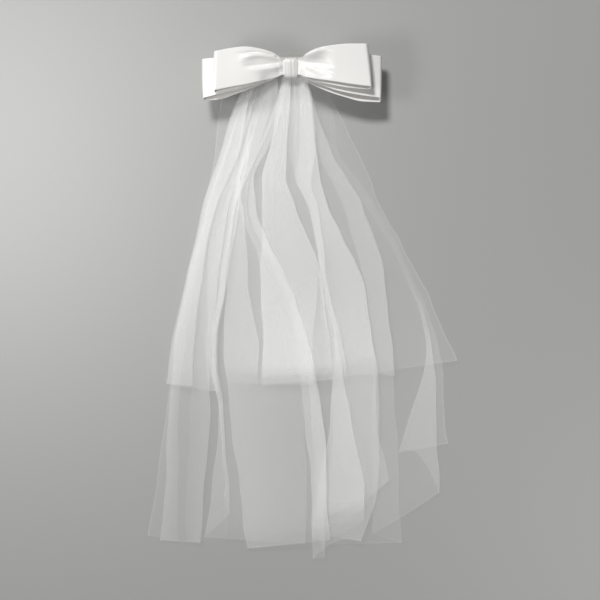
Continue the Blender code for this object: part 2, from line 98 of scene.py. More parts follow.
# How the layers of a tier ease over the edges of those under them. Their heights are kept
# in a map of even cells across and steps down.
EASE_AT_HEADING = 4.0
EASE_PER_DROP = 0.08
BED_EASE = 3                # the bed of the next tier is this many times smoother
DROP_EASE = 4               # rows over which the map is smoothed along the drop
LEVEL_HEADING = 90.0        # over this drop a tier's top is made level towards the heading
LEAST_SLOPE = 0.002         # slopes tried for a sagging curve, in layers per millimetre
MOST_SLOPE = 1.5
SLOPE_STEPS = 40
MAP_CELL = 1.0
MAP_STEP = 6.0
MAP_PLACES = np.arange(-250.0, 270.0, MAP_CELL)
MAP_DROPS = np.arange(HEADING_DROP, 700.0, MAP_STEP)
MAP_EDGE = 1.001            # keeps a reading inside the map's last cell

# The comb under the headings, and how they slope down from it to the floor
COMB_WIDTH = 64.0
COMB_THICKNESS = 2.6
COMB_SPINE_DROP = -12.0
COMB_TOOTH_END_DROP = 20.0
COMB_CLEARANCE = 6.0
COMB_SLOPE = 34.0
SEAM_GAP = 0.3

# A row for each fold of a tier, from its right selvage to its left one: its distance right
# of the middle at each station down the drop, where it ends at the hem, how far the hem sags
# on the way to the next fold, how sharply the fold is pressed, and how full the net lies
# from here to the next fold: 1 is one flat layer, more is gathered and less is pulled open.
STATIONS = (55.0, 120.0, 160.0, 200.0, 300.0, 400.0, 500.0, 585.0)
FULLNESS_STATIONS = (60.0, 290.0, 420.0, 600.0)
Fold = namedtuple("Fold", "name at_55 at_120 at_160 at_200 at_300 at_400 at_500 at_585 "
                          "hem_x hem_drop sag crisp full_60 full_290 full_420 full_600")

LOWER_FOLDS = (
    Fold("right_selvage", 59, 71, 95, 125, 174, 211, 219, 223, 223, 527, 0, 1, 0.2, 0.3, 0.9, 0.9),
    Fold("right_flap_left", 42, 60, 83, 111, 166, 194, 165, 154, 154, 540, -24, 0.6, 0.05, 0.05, 1.2, 1.2),
    Fold("right_flap_right", 56, 68, 92, 121, 170, 201, 206, 209, 209, 595, 2, 0.9, 0.1, 0.2, 0.8, 1.2),
    Fold("right_edge_left", 17, 39, 60, 77, 106, 120, 117, 118, 119, 652, 0, 0.3, 0.4, 0.6, 0.5, 0.3),
    Fold("right_edge", 34, 59, 81, 104, 134, 144, 150, 154, 157, 664, 0, 0.8, 0.4, 0.6, 0.5, 0.5),
    Fold("right_edge_under", 21, 17, 14, 30, 45, 60, 64, 53, 48, 667, 0, 0.2, 0.5, 0.8, 0.9, 0.9),
    Fold("small_corner", 32, 38, 46, 56, 102, 119, 124, 140, 140, 578, 6, 0.5, 0.3, 0.6, 0.9, 0.9),
    Fold("tall_leaf_left", 19, 18, 12, 30, 48, 66, 59, 43, 41, 632, 4, 0.9, 0.2, 0.6, 1.6, 2.3),
    Fold("tall_leaf_right", 30, 33, 34, 40, 56, 72, 88, 105, 105, 632, 4, 0.7, 0.3, 0.6, 0.9, 1.6),
    Fold("tall_leaf_under", 18, 18, 10, 30, 47, 62, 62, 60, 58, 655, 0, 0.2, 0.5, 0.8, 0.9, 0.8),
    Fold("middle_right", 33, 38, 46, 56, 102, 120, 127, 124, 101, 662, -12, 0.8, 0.9, 0.5, 1.35, 0.9),
    Fold("tail_left", -16, -39, -48, -53, -14, 21, 35, 38, 35, 686, 0, 0.4, 1.2, 1.2, 1, 0.8),
    Fold("tail_right", -6, -28, -45, -43, -1, 32, 50, 52, 50, 684, -14, 0.4, 0.6, 0.6, 0.9, 0.9),
    Fold("finger_left", -10, -23, -33, -34, 2, 13, 25, 33, 36, 660, 0, 0.4, 1.5, 1.5, 2, 2.4),
    Fold("finger_right", 3, -1, -3, 11, 42, 34, 50, 54, 58, 660, 0, 0.5, 0.2, 0.4, 1.4, 1.4),
    Fold("middle_left", -35, -55, -62, -68, -84, -86, -77, -66, -55, 672, 0, 0.6, 0.8, 0.8, 0.9, 1),
    Fold("middle_under", -21, -42, -51, -56, -20, 12, 23, 26, 26, 665, 0, 0.2, 0.8, 0.4, 0.5, 1.4),
    Fold("small_leaf_left", -43, -61, -68, -75, -92, -104, -95, -103, -115, 657, 0, 0.5, 1, 0.9, 0.8, 0.7),
    Fold("sliver_right", -35, -53, -60, -66, -85, -97, -88, -82, -81, 625, 0, 0.6, 0.6, 0.8, 1.2, 0.8),
    Fold("sliver_left", -46, -64, -72, -78, -93, -106, -92, -86, -88, 598, 0, 0.8, 0.4, 0.5, 0.8, 0.4),
    Fold("sliver_under", -38, -56, -63, -69, -88, -100, -90, -84, -84, 661, 0, 0.1, 0.5, 0.3, 0.2, 0.3),
    Fold("left_leaf_under", -56, -77, -87, -95, -114, -126, -135, -139, -140, 662, 0, 0.1, 1, 1, 1, 1),
    Fold("left_leaf_right", -46, -66, -74, -81, -97, -107, -109, -115, -122, 664, 0, 0.7, 0.8, 0.9, 0.6, 0.7),
    Fold("left_leaf_left", -61, -85, -99, -112, -135, -157, -164, -169, -175, 661, 0, 0.8, 0.8, 1, 1, 1),
    Fold("left_under", -54, -75, -88, -101, -125, -143, -151, -152, -151, 662, 0, 0.1, 0.5, 0.5, 0.6, 0.6),
    Fold("left_selvage", -93, -99, -107, -117, -138, -158, -169, -182, -194, 654, 0, 0.7, 1, 1, 1, 1),
)

UPPER_FOLDS = (
    Fold("right_selvage", 63, 96, 113, 130, 184, 229, 234, 234, 234, 412, 0, 1, 0.5, 0.8, 1, 1),
    Fold("right_edge_left", 17, 38, 60, 77, 106, 122, 125, 125, 125, 428, 0, 0.3, 0.5, 1, 1.6, 1.6),
    Fold("right_edge", 36, 59, 81, 104, 134, 144, 148, 148, 148, 433, 0, 0.6, 1, 1, 0.8, 0.8),
    Fold("broad_left", 8, 10, 10, 32, 46, 59, 66, 66, 66, 430, 0, 0.3, 0.7, 1.2, 2.6, 2.6),
    Fold("broad_right", 32, 38, 46, 56, 103, 120, 124, 124, 124, 428, 0, 0.5, 1.2, 1, 1.2, 1.2),
    Fold("streak_left", -8, 3, 11, 31, 44, 52, 55, 55, 55, 440, 0, 0.1, 0.9, 1.2, 2, 2),
    Fold("streak_right", 34, 38, 32, 42, 54, 78, 84, 84, 84, 436, 0, 0.4, 1.9, 1.3, 1.6, 1.6),
    Fold("finger_left", -14, -23, -34, -35, -36, -34, -35, -35, -35, 445, 0, 0.4, 1.4, 2, 3, 3),
    Fold("finger_right", 3, -1, -3, 11, 47, 59, 66, 66, 66, 438, 0, 0.5, 0.2, 0.5, 1.5, 1.5),
    Fold("sweep_left", -40, -62, -72, -66, -35, -34, -33, -33, -33, 446, 0, 0.2, 0.8, 2.2, 3, 3),
    Fold("sweep_right", -6, -28, -46, -44, -1, 32, 36, 36, 36, 445, 0, 0.5, 0.5, 0.6, 1, 1),
    Fold("narrow_left", -59, -68, -74, -78, -84, -88, -84, -84, -84, 442, 0, 0.1, 0.8, 1.6, 2.8, 2.8),
    Fold("narrow_right", -52, -54, -67, -61, -55, -41, -41, -41, -41, 443, 0, 0.5, 0.6, 0.4, 0.2, 0.2),
    Fold("bundle_left", -43, -58, -80, -99, -110, -112, -108, -108, -108, 453, 0, 0.2, 1.1, 1.5, 1.5, 1.5),
    Fold("bundle_right", -14, -38, -56, -70, -86, -99, -96, -96, -96, 455, 0, 0.4, 1.3, 1.8, 1.3, 0.8),
    Fold("left_edge", -70, -91, -105, -118, -139, -162, -169, -169, -169, 444, 0, 0.3, 1.6, 1.4, 1.2, 1.2),
    Fold("left_strip", -54, -66, -83, -100, -118, -131, -131, -131, -131, 447, 0, 0.4, 1.7, 1.4, 1.2, 1.2),
    Fold("left_selvage", -68, -89, -103, -115, -137, -160, -168, -168, -168, 444, 0, 0.4, 1, 1, 1, 1),
)

# Fine gathers that the needle leaves in the tulle. Each is a wave across the flat cloth.
Gather = namedtuple("Gather", "length phase height")

FINE_GATHERS = (
    Gather(12.0, 1.1, 0.25),
    Gather(19.0, 0.3, 0.25),
    Gather(31.0, 1.9, 0.25),
    Gather(53.0, 4.1, 0.25),
)
GATHER_FADE_DROP = 300.0

# How many flat layers' threads show at a place, which makes the net whiter or more sheer
FOLD_DENSITY = 3.0          # threads seen on a crisp fold, over those of one flat layer
FOLD_AT_HEADING = 0.5       # share of it that is left near the heading, where all is pressed
FOLD_FULL_DROP = 160.0
HEM_DENSITY = 1.6           # threads added along a raw cut edge beside crisp folds
HEM_THINNING = 26.0         # over this drop the gathered net thins out to its uneven cut edge
HEM_LEFT = 0.08
GATHER_DENSITY = 0.55
CROWDING_POWER = 0.3        # how much whiter a panel gets where it narrows
SOFT_SIDE = 0.3             # share of a panel's threads left where it ends in a soft fold
CRISP_SIDE = 0.6            # a fold at least this sharp loses none

# Folds laid by hand are never quite straight. Neighbouring folds waver together.
Waver = namedtuple("Waver", "drop_length x_length phase height")

FOLD_WAVERS = (
    Waver(150.0, 95.0, 0.6, 1.1),
    Waver(67.0, 47.0, 2.2, 0.5),
)
WAVER_GROWTH = 160.0

# A row for each station of a bow's loop, from the knot out to where the band turns back: the
# places of its edges, in millimetres from the gathering line, and the heights of its layers
# over the bow's bed. The lifts are those of the two layers' top edges, and the front layer's
# bottom edge is higher by the rise.
Section = namedtuple("Section", "x_top x_bottom top bottom_front bottom_back lift_back "
                                "lift_front rise")

REAR_LEFT = (
    Section(5, 5, 1, -18, -18, 0, 1.8, 0),
    Section(-5, -5, 1, -18, -18, 0, 1.8, 0),
    Section(-18, -18, 8, -24, -24, -0.5, 4.8, 1),
    Section(-40, -40, 11, -31, -33, -3.5, 5, 4),
    Section(-66, -66, 9, -39, -43, -8, 4.5, 7),
    Section(-94, -94, 6, -45, -52, -12, 3.5, 7),
    Section(-114, -114, 4, -50, -54, -12, 5, 5),
)
REAR_RIGHT = (
    Section(5, 5, 1, -18, -18, 0, 1.8, 0),
    Section(15, 15, 1, -18, -18, 0, 1.8, 0),
    Section(28, 28, 7, -25, -28, -1.5, 4.5, 1.5),
    Section(50, 50, 11, -34, -39, -5.5, 5, 4.5),
    Section(76, 76, 12, -42, -48, -9.5, 4, 7),
    Section(104, 104, 11, -47, -55, -12, 2, 7),
    Section(127, 127, 8, -50, -56, -12, 0.5, 5),
)
FRONT_LEFT = (
    Section(5, 5, 2, -18, -18, 0, 1.8, 0),
    Section(-5, -5, 2, -18, -18, 0, 1.8, 0),
    Section(-16, -16, 10, -22, -23, 2, 9, -1),
    Section(-36, -36, 17, -27, -29, 3, 14, -2),
    Section(-58, -58, 20, -32, -35, 3, 17, -2),
    Section(-80, -80, 17.5, -36, -40, 2, 18.5, -2),
    Section(-97, -99, 14, -40, -44, 3, 20.5, -2),
)
FRONT_RIGHT = (
    Section(5, 5, 2, -18, -18, 0, 1.8, 0),
    Section(15, 15, 2, -18, -18, 0, 1.8, 0),
    Section(26, 26, 10, -22, -24, 2, 15.5, 0),
    Section(42, 42, 18, -25, -28, 3, 17.5, 0),
    Section(63, 64, 22, -28, -33, 3, 17.5, 1),
    Section(86, 89, 24, -32, -37, 2, 18, 1.5),
    Section(107, 114, 24, -35, -39, 2, 18.5, 1.5),
)

# A row for each fold pressed into a bow's front layer, along a curve through three places.
# It reaches as far above and below its line as the row says. A negative rise is a trough.
# A fold of power 1 is sharp along its line and one of power 2 is rounded.
Crease = namedtuple("Crease", "x_in y_in x_mid y_mid x_out y_out above below rise power")

FRONT_CREASES = (
    Crease(-8, 4, -38, 12, -76, 10, 1.3, 3, -3.5, 2),
    Crease(-6, 3, -42, 9, -70, -3, 3, 4, 3, 2),
    Crease(-7, -1.5, -36, -6, -64, -7.5, 8, 1.2, -6, 1),
    Crease(-6, -4.5, -30, -10.5, -60, -11.5, 1.5, 5, 1.4, 2),
    Crease(-5, -22, -20, -27, -40, -33, 14, 8, -6.5, 2),
    Crease(16, 3, 32, 11, 58, 18, 3, 10, 6.5, 2),
    Crease(16, 0, 34, -3.2, 66, -7, 14, 2.2, -12.5, 1),
    Crease(16, -3, 34, -10.8, 64, -21.5, 8, 2.4, -12, 1),
)
REAR_CREASES = (
    Crease(-12, -8, -50, -20, -90, -30, 6, 6, 0.9, 2),
    Crease(20, -8, 60, -20, 100, -30, 6, 6, 0.9, 2),
)
CREASE_STEPS = 24
CREASE_FADE_IN = 0.12       # shares of a fold's length over which it starts and ends
CREASE_FADE_OUT = 0.42

BOW_WIDTH_CELLS = 54
BOW_STEPS_PER_SECTION = 8
BOW_TURN_STEPS = 10
BOW_TURN_DEPTH = 0.4        # how round a loop's end is: 1 is a half circle
BOW_BACK_TUCK = 2.0         # how far the back layer's top edge is tucked behind the front's
LOOP_EDGE_POWER = 3         # how late across its width a layer bends to its bottom edge
LOOP_CLOSED_BELOW = 0.7     # share of a loop's opening that is closed along its bottom edge
LOOP_LEAST_OPENING = 2.0
LOOP_SHUT = 0.01            # what is left open where a loop is shut
SEWN_WITHIN = 0.01          # points of a seam nearer than this are joined

KNOT_MIDDLE_X = 4.8
KNOT_WIDTH_FRONT = 18.0
KNOT_WIDTH_SIDE = 14.0
KNOT_TOP = 4.6
KNOT_BOTTOM = -22.4
KNOT_SQUARENESS = 0.6       # 1 goes round in an ellipse, less has flatter faces
KNOT_CROWN = 1.2
KNOT_STEPS_ROUND = 72
KNOT_CELLS_ACROSS = 48
KNOT_GATHERS = (Gather(4.3, 0.4, 0.12), Gather(7.1, 2.0, 0.2))
KNOT_GATHER_SWAY = 0.7
KNOT_COVERS_X = (-24.0, 34.0)   # the knot clears the headings between these places
KNOT_COVERS_DROP = (HEADING_DROP, 28.0)
KNOT_PROBES = 40

# Patterns, in millimetres
NET_CELL = 1.9              # soft tulle's own cells are 1 mm, too fine to show
NET_CONTRAST = 0.18
NET_EDGE = 0.9              # the height of the net's waves where a thread gives way to a hole
SHADOW_SHARE = 0.35         # thin threads pass light on, so their shadow is paler
FLOAT_LENGTH = 4.545        # satin's own floats are under 1 mm long, too fine to show
FLOAT_SPACING = 0.7143
FLOW_MARK = 11.11           # length of the faint waves that moulding leaves in the comb

# The stage, in metres. The lights hang over the floor and shine straight down.
Lamp = namedtuple("Lamp", "name x y z size watts")
STUDIO_LIGHTS = (
    Lamp("key_light", -1.82, 4.38, 5.85, 1.8, 480.0),
    Lamp("side_light", -0.46, 0.22, 0.5, 0.3, 1.8),
    Lamp("fill_light", 0.54, -0.38, 0.5, 0.35, 0.7),
)
ROOM_LIGHT = 0.16
FLOOR_SIZE = 6.0
FLOOR_BELOW = 0.0002
CAMERA_PLACE = (-0.0021, 0.0021, 6.925)
CAMERA_LENS = 300.0
CAMERA_SENSOR = 36.0
LIGHT_BOUNCES = 16
SOFT_BOUNCES = 12
NET_LAYERS_SEEN = 64


def linear(hex_colour):
    """An sRGB colour such as F5F5F2 as linear red, green, blue and alpha."""
    channels = [int(hex_colour[place:place + 2], 16) / 255.0 for place in (0, 2, 4)]
    return tuple(c / 12.92 if c <= 0.04045 else ((c + 0.055) / 1.055) ** 2.4
                 for c in channels) + (1.0,)


def smooth_step(value):
    """Ease from 0 to 1 as value goes from 0 to 1."""
    value = np.clip(value, 0.0, 1.0)
    return value * value * (3.0 - 2.0 * value)


def curve_through(knots, values, wanted):
    """Read a smooth curve through (knots, values) at the wanted places, without overshoot."""
    knots = np.asarray(knots, float)
    values = np.asarray(values, float)
    steps = np.diff(knots)
    slopes = np.diff(values) / steps
    tangents = np.empty_like(values)
    tangents[0], tangents[-1] = slopes[0], slopes[-1]
    before, after = slopes[:-1], slopes[1:]
    turning = before * after <= 0.0
    harmonic = 2.0 * before * after / np.where(turning, 1.0, before + after)
    tangents[1:-1] = np.where(turning, 0.0, harmonic)
    wanted = np.clip(wanted, knots[0], knots[-1])
    cell = np.clip(np.searchsorted(knots, wanted) - 1, 0, len(steps) - 1)
    t = (wanted - knots[cell]) / steps[cell]
    start, end = values[cell], values[cell + 1]
    start_slope, end_slope = tangents[cell] * steps[cell], tangents[cell + 1] * steps[cell]
    return (start * (1 + 2 * t) * (1 - t) ** 2 + start_slope * t * (1 - t) ** 2
            + end * t * t * (3 - 2 * t) + end_slope * t * t * (t - 1))


def waver_at(x, drop):
    """How far the folds stray sideways at a place."""
    grown = smooth_step(drop / WAVER_GROWTH)
    return grown * sum(w.height * np.sin(2.0 * pi * (drop / w.drop_length + x / w.x_length)
                                         + w.phase) for w in FOLD_WAVERS)


class Edge:
    """One fold of a tier, as a curve across its drop."""

    def __init__(self, fold, number, count, shared_drop):
        self.shared_drop = shared_drop
        self.opens_right = number % 2 == 0
        side = 1.0 if self.opens_right else -1.0
        pitch = 2.0 * HEADING_HALF_WIDTH / (count - 1)
        heading_x = HEADING_HALF_WIDTH - pitch * number + side * (pitch + HEADING_PLEAT) / 2
        at_stations = zip(STATIONS, fold[1:1 + len(STATIONS)])
        last_drop = fold.hem_drop - LEAST_HEM_LENGTH
        reached = [(drop, x) for drop, x in at_stations if drop < last_drop]
        self.knots = [HEADING_DROP] + [drop for drop, _ in reached] + [fold.hem_drop]
        self.places = [heading_x] + [x for _, x in reached] + [fold.hem_x]
        self.hem_drop, self.sag, self.crisp = fold.hem_drop, fold.sag, fold.crisp
        self.fullness = fold[-len(FULLNESS_STATIONS):]

    def x_at(self, drop):
        x = curve_through(self.knots, self.places, drop)
        return x + waver_at(x, drop)

    def drops(self):
        """Drop of each row of points. The last two rows bound the line of the cut edge."""
        share = (np.arange(SHARED_ROWS + 1) / SHARED_ROWS) ** ROW_CROWDING
        shared = HEADING_DROP + share * (self.shared_drop - HEADING_DROP)
        below = np.linspace(self.shared_drop, self.hem_drop - HEM_LINE, HEM_ROWS)[1:]
        return np.concatenate([shared, below, [self.hem_drop]])


class Panel:
    """The cloth between two neighbouring folds, which lies at one level."""

    def __init__(self, right_edge, left_edge):
        self.edges = (right_edge, left_edge)
        first, last = right_edge.drops(), left_edge.drops()
        self.first_drop, self.last_drop = first[:, None], last[:, None]
        self.first_x, self.last_x = right_edge.x_at(first)[:, None], left_edge.x_at(last)[:, None]
        near_hem = np.clip((np.arange(len(first)) - SHARED_ROWS) / HEM_ROWS, 0.0, 1.0)
        self.sag = right_edge.sag * near_hem[:, None]
        self.width = np.abs(self.first_x - self.last_x)
        self.flat_width = float(self.width.max())

    def points(self, across):
        """Plan places (x, drop) of all rows, across = 0..1 between the two folds."""
        drop = (1 - across) * self.first_drop + across * self.last_drop
        drop = drop + self.sag * 4.0 * across * (1 - across)    # a parabola, full in the middle
        return (1 - across) * self.first_x + across * self.last_x, drop

    def threads_at(self, across, drop):
        """How many flat layers' threads show: more where the panel narrows, less by soft folds.

        Gathered net thins out at its hem. One flat layer does not.
        """
        fullness = curve_through(FULLNESS_STATIONS, self.edges[0].fullness, drop)
        first, last = (SOFT_SIDE + (1.0 - SOFT_SIDE) * smooth_step(edge.crisp / CRISP_SIDE)
                       for edge in self.edges)
        side = first + (last - first) * smooth_step(across)
        crowding = self.flat_width / np.maximum(self.width, 1.0)
        threads = fullness * side * crowding ** CROWDING_POWER
        gathered = np.clip(fullness - 1.0, 0.0, 1.0)
        hems = [edge.hem_drop for edge in self.edges]
        above_hem = (1 - across) * hems[0] + across * hems[1] - drop
        thinned = HEM_LEFT + (1.0 - HEM_LEFT) * smooth_step(above_hem / HEM_THINNING)
        return threads * (1.0 - gathered * (1.0 - thinned))

    def ends_at(self, drop):
        """The panel's two sides at a drop, lowest first."""
        sides = [float(edge.x_at(drop)) for edge in self.edges]
        return min(sides), max(sides)


def make_panels(folds, shared_drop):
    edges = [Edge(fold, number, len(folds), shared_drop) for number, fold in enumerate(folds)]
    return [Panel(edges[number], edges[number + 1]) for number in range(len(edges) - 1)]


def blurred(values, reach):
    """A running mean, taken twice, that leaves a straight slope as it is."""
    for _ in range(2):
        padded = np.pad(values, reach, mode="reflect", reflect_type="odd")
        values = np.lib.stride_tricks.sliding_window_view(padded, 2 * reach + 1).mean(axis=-1)
    return values


def sagging_under(places, values, reach):
    """A smooth sagging curve close under all the values, read at every place of the map."""
    steep = np.geomspace(LEAST_SLOPE, MOST_SLOPE, SLOPE_STEPS)
    slopes = np.concatenate([-steep[::-1], [0.0], steep])[:, None]
    intercepts = (values - slopes * places).min(axis=1, keepdims=True)
    hull = (slopes * places + intercepts).max(axis=0)
    smooth = blurred(hull, reach)
    return np.interp(MAP_PLACES, places, smooth - np.max(smooth - hull))


class Layers:
    """How high each of a tier's panels lies above the tier's bed, from one panel to the next."""

    def __init__(self, panels):
        found = np.array([self.row(panels, drop) for drop in MAP_DROPS])
        self.lowest, self.top = (np.apply_along_axis(blurred, 0, found[:, part], DROP_EASE)
                                 for part in range(2))

    def row(self, panels, drop):
        """The number of the lowest panel and the layers up to the top one, both smooth."""
        ends = np.array([panel.ends_at(drop) for panel in panels])
        low, high = ends[:, :1] - TURN_REACH, ends[:, 1:] + TURN_REACH
        present = (MAP_PLACES >= low) & (MAP_PLACES <= high)
        some = present.any(axis=0)
        first = np.argmax(present, axis=0).astype(float)
        last = len(panels) - 1 - np.argmax(present[::-1], axis=0).astype(float)
        reach = int(round((EASE_AT_HEADING + EASE_PER_DROP * (drop - HEADING_DROP)) / MAP_CELL))
        lowest = sagging_under(MAP_PLACES[some], first[some], reach)
        top = -sagging_under(MAP_PLACES[some], (lowest - last)[some], BED_EASE * reach)
        level = 1.0 - smooth_step((drop - HEADING_DROP) / LEVEL_HEADING)
        return lowest, top + level * (top.max() - top)

    def read(self, table, x, drop):
        column = np.clip((x - MAP_PLACES[0]) / MAP_CELL, 0, len(MAP_PLACES) - MAP_EDGE)
        row = np.clip((drop - MAP_DROPS[0]) / MAP_STEP, 0, len(MAP_DROPS) - MAP_EDGE)
        c, r = column.astype(int), row.astype(int)
        u, v = column - c, row - r
        upper = table[r, c] * (1 - u) + table[r, c + 1] * u
        lower = table[r + 1, c] * (1 - u) + table[r + 1, c + 1] * u
        return upper * (1 - v) + lower * v

    def height(self, number, x, drop):
        """Height of one panel above the tier's bed."""
        return TULLE_LEVEL * (number - self.read(self.lowest, x, drop))

    def thickness(self, x, drop):
        """Height of the next tier's bed above this one's."""
        return TULLE_LEVEL * (self.read(self.top, x, drop) + 1.0) + TIER_GAP


def comb_height(x, drop):
    """Lifts the headings over the comb."""
    beside = np.maximum(np.abs(x) - COMB_WIDTH / 2, 0.0)
    beyond = np.maximum(np.maximum(COMB_SPINE_DROP - drop, drop - COMB_TOOTH_END_DROP), 0.0)
    away = np.hypot(beside, beyond)
    return (COMB_THICKNESS + SEAM_GAP) * (1.0 - smooth_step((away - COMB_CLEARANCE) / COMB_SLOPE))


def bed_height(under, x, drop):
    """Height of the middle of a tier's lowest layer where it lies on all that is under it."""
    height = TULLE_WALL / 2 + comb_height(x, drop)
    for layers in under:
        height = height + layers.thickness(x, drop)
    return height


def fine_gathers(flat_x):
    """A wave of uneven pleats across the flat cloth, from about -1 to 1."""
    return sum(g.height * np.sin(2.0 * pi * flat_x / g.length + g.phase) for g in FINE_GATHERS)


def tier_columns(panels, layers, under, gather_height):
    """Columns of points from the right selvage to the left.

    Each is its places, drops, heights, its place across the flat cut and its threads.
    """
    columns = []
    flat_x = 0.0
    for number, panel in enumerate(panels):
        cells = int(np.clip(round(panel.flat_width / PANEL_CELL), FEWEST_CELLS, MOST_CELLS))
        for share in np.linspace(0.0, 1.0, cells + 1):
            x, drop = panel.points(share)
            height = bed_height(under, x, drop) + layers.height(number, x, drop)
            place = flat_x + share * panel.flat_width
            fade = 1.0 - smooth_step((drop - HEADING_DROP) / GATHER_FADE_DROP)
            wave = fine_gathers(place) * fade
            pinned = np.sin(pi * share)
            height = height + gather_height * wave * pinned
            threads = panel.threads_at(share, drop) * (1.0 + GATHER_DENSITY * wave)
            crisp = (1 - share) * panel.edges[0].crisp + share * panel.edges[1].crisp
            threads[-1] += HEM_DENSITY * crisp
            columns.append((x, drop, height, place, threads))
        flat_x += panel.flat_width
        if number + 1 < len(panels):
            columns.extend(turn_columns(panel.edges[1], columns[-1]))
    for end, edge in ((0, panels[0].edges[0]), (-1, panels[-1].edges[1])):
        x, drop, height, place, threads = columns[end]
        columns[end] = (x, drop, height, place, threads + HEM_DENSITY * edge.crisp)
    return columns


def turn_columns(edge, last):
    """Points round the half circle that joins one level to the next at a fold."""
    x, drop, height, place, threads = last
    radius = TULLE_LEVEL / 2
    outwards = 1.0 if edge.opens_right else -1.0
    pressed = FOLD_AT_HEADING + (1.0 - FOLD_AT_HEADING) * smooth_step(drop / FOLD_FULL_DROP)
    seen = threads * (1.0 + FOLD_DENSITY * edge.crisp * pressed)
    return [(x + outwards * radius * cos(angle), drop, height + radius * (1 + sin(angle)),
             place, seen) for angle in TURN_ANGLES]


def deselect_all():
    for thing in bpy.context.view_layer.objects:
        thing.select_set(False)


def activate(thing):
    deselect_all()
    thing.select_set(True)
    bpy.context.view_layer.objects.active = thing


def grid_sheet(name, across, along):
    """A flat grid of cells, whose points are then laid where the sewn cloth is."""
    deselect_all()
    bpy.ops.mesh.primitive_grid_add(x_subdivisions=across, y_subdivisions=along, size=1.0,
                                    calc_uvs=True)
    sheet = bpy.context.active_object
    sheet.name = sheet.data.name = name
    return sheet


def lay_points(sheet, points):
    """Move the flat grid's points, taken row by row, to their places in metres."""
    flat = np.empty(len(sheet.data.vertices) * 3)
    sheet.data.vertices.foreach_get("co", flat)
    flat = flat.reshape(-1, 3)
    order = np.lexsort((flat[:, 0].round(6), flat[:, 1].round(6)))
    places = np.empty_like(flat)
    places[order] = points.reshape(-1, 3)
    sheet.data.vertices.foreach_set("co", places.ravel())
    sheet.data.update()
    return order


def write_attribute(sheet, name, values, order):
    """Give each point of the sheet its value, under a name that a material reads."""
    attribute = sheet.data.attributes.new(name, "FLOAT", "POINT")
    placed = np.empty(len(order))
    placed[order] = values.ravel()
    attribute.data.foreach_set("value", placed)


def write_uv(sheet, flat_places, order):
    """Give the sheet's UV map the flat cut's own places, in metres."""
    placed = np.empty((len(order), 2))
    placed[order] = flat_places.reshape(-1, 2)
    corners = np.empty(len(sheet.data.loops), int)
    sheet.data.loops.foreach_get("vertex_index", corners)
    sheet.data.uv_layers[0].data.foreach_set("uv", placed[corners].ravel())


def place_in_frame(x, y, z):
    """Frame places in metres from millimetres round the gathering line."""
    return np.stack([GATHERING_X + x * MM, GATHERING_Y + y * MM, z * MM], axis=-1)


def make_tier(name, panels, layers, under, gather_height, material):
    """A tier of net in one sheet, folded from its right selvage to its left one."""
    columns = tier_columns(panels, layers, under, gather_height)
    x, drop, height, place, threads = (
        np.concatenate([np.broadcast_to(column[part], columns[0][0].shape) for column in columns],
                       axis=1) for part in range(5))
    sheet = grid_sheet(name, x.shape[1] - 1, x.shape[0] - 1)
    order = lay_points(sheet, place_in_frame(x, -drop, height))
    write_attribute(sheet, "threads", threads, order)
    write_uv(sheet, np.stack([place * MM, drop * MM], axis=-1), order)
    bpy.ops.object.shade_smooth()
    sheet.data.materials.append(material)
    return sheet


def heading_top(under):
    """Height of the upper face of the headings behind the knot."""
    x, drop = np.meshgrid(np.linspace(*KNOT_COVERS_X, KNOT_PROBES),
                          np.linspace(*KNOT_COVERS_DROP, KNOT_PROBES))
    return float(bed_height(under, x, drop).max()) - TULLE_LEVEL


def bow_sections(sections):
    """Smooth columns of a loop's table, read at even steps from the knot outwards."""
    count = (len(sections) - 1) * BOW_STEPS_PER_SECTION + 1
    wanted = np.linspace(0, len(sections) - 1, count)
    columns = [curve_through(range(len(sections)), column, wanted) for column in zip(*sections)]
    return [Section(*row) for row in zip(*columns)]


def crease_rise(creases, x, y):
    """What the pressed folds add to the height at plan places."""
    rise = np.zeros_like(y)
    share = np.linspace(0.0, 1.0, CREASE_STEPS + 1)
    # Weights of the first, middle and last place of a line, for a parabola through all three
    weights = ((1 - share) * (1 - 2 * share), 4 * share * (1 - share), share * (2 * share - 1))
    for crease in creases:
        line_x = sum(w * place for w, place in zip(weights, crease[0:6:2]))
        line_y = sum(w * place for w, place in zip(weights, crease[1:6:2]))
        away = np.hypot(x[:, None] - line_x, y[:, None] - line_y)
        nearest = away.argmin(axis=1)
        at = share[nearest]
        width = np.where(y > line_y[nearest], crease.above, crease.below)
        fade = smooth_step(at / CREASE_FADE_IN) * smooth_step((1.0 - at) / CREASE_FADE_OUT)
        rise = rise + crease.rise * fade * np.exp(-(away.min(axis=1) / width) ** crease.power)
    return rise


def band_places(x_top, x_bottom, top, bottom):
    """Plan places across a band, from its top edge to its bottom edge, and the share done."""
    across = np.linspace(0.0, 1.0, BOW_WIDTH_CELLS + 1)
    return x_top + across * (x_bottom - x_top), top + across * (bottom - top), across


def front_height(step, x, y, across, creases):
    """Height of a loop's front layer. No fold is pressed deeper than the loop is open."""
    opening = step.lift_front - step.lift_back - LOOP_LEAST_OPENING
    opening = max(opening, 0.0) + LOOP_SHUT
    pressed = crease_rise(creases, x, y)
    pressed = np.where(pressed < 0.0, opening * np.tanh(pressed / opening), pressed)
    return step.lift_front + step.rise * across ** LOOP_EDGE_POWER + pressed


def front_row(step, creases):
    """Points across a loop's front layer at one step of its length."""
    x, y, across = band_places(step.x_top, step.x_bottom, step.top, step.bottom_front)
    return np.stack([x, y, front_height(step, x, y, across, creases)], axis=-1)


